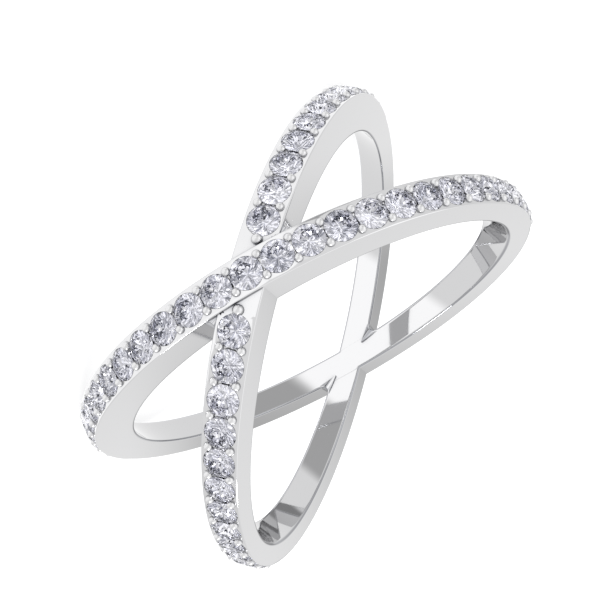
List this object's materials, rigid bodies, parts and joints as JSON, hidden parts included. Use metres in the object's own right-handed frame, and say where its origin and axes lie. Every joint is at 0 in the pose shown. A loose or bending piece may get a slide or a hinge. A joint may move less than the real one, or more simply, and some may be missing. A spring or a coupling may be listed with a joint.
{
  "type": "ring",
  "caption": "Crossover finger ring of two slim polished bands that cross at front and back, a row of small round brilliants along the front half of each.",
  "frame": {"origin": "under the middle of the finger hole, on the surface that the ring lies on", "axes": "+Z along the finger hole's axis, up from the surface; the front crossing, with the stones, at -Y and the plain back crossing at +Y; +X and -X through the two side windows"},
  "size_m": [0.0206, 0.022, 0.0101],
  "materials": {
    "white_gold": "white gold with a bright rhodium plate, mirror polished",
    "diamond_over": "colourless cut diamond, polished facets",
    "diamond_under": "colourless cut diamond, polished facets"
  },
  "bodies": {
    "root": {"ring_shank": "white_gold", "stones_over_band": "diamond_over", "stones_under_band": "diamond_under"}
  },
  "joints": []
}
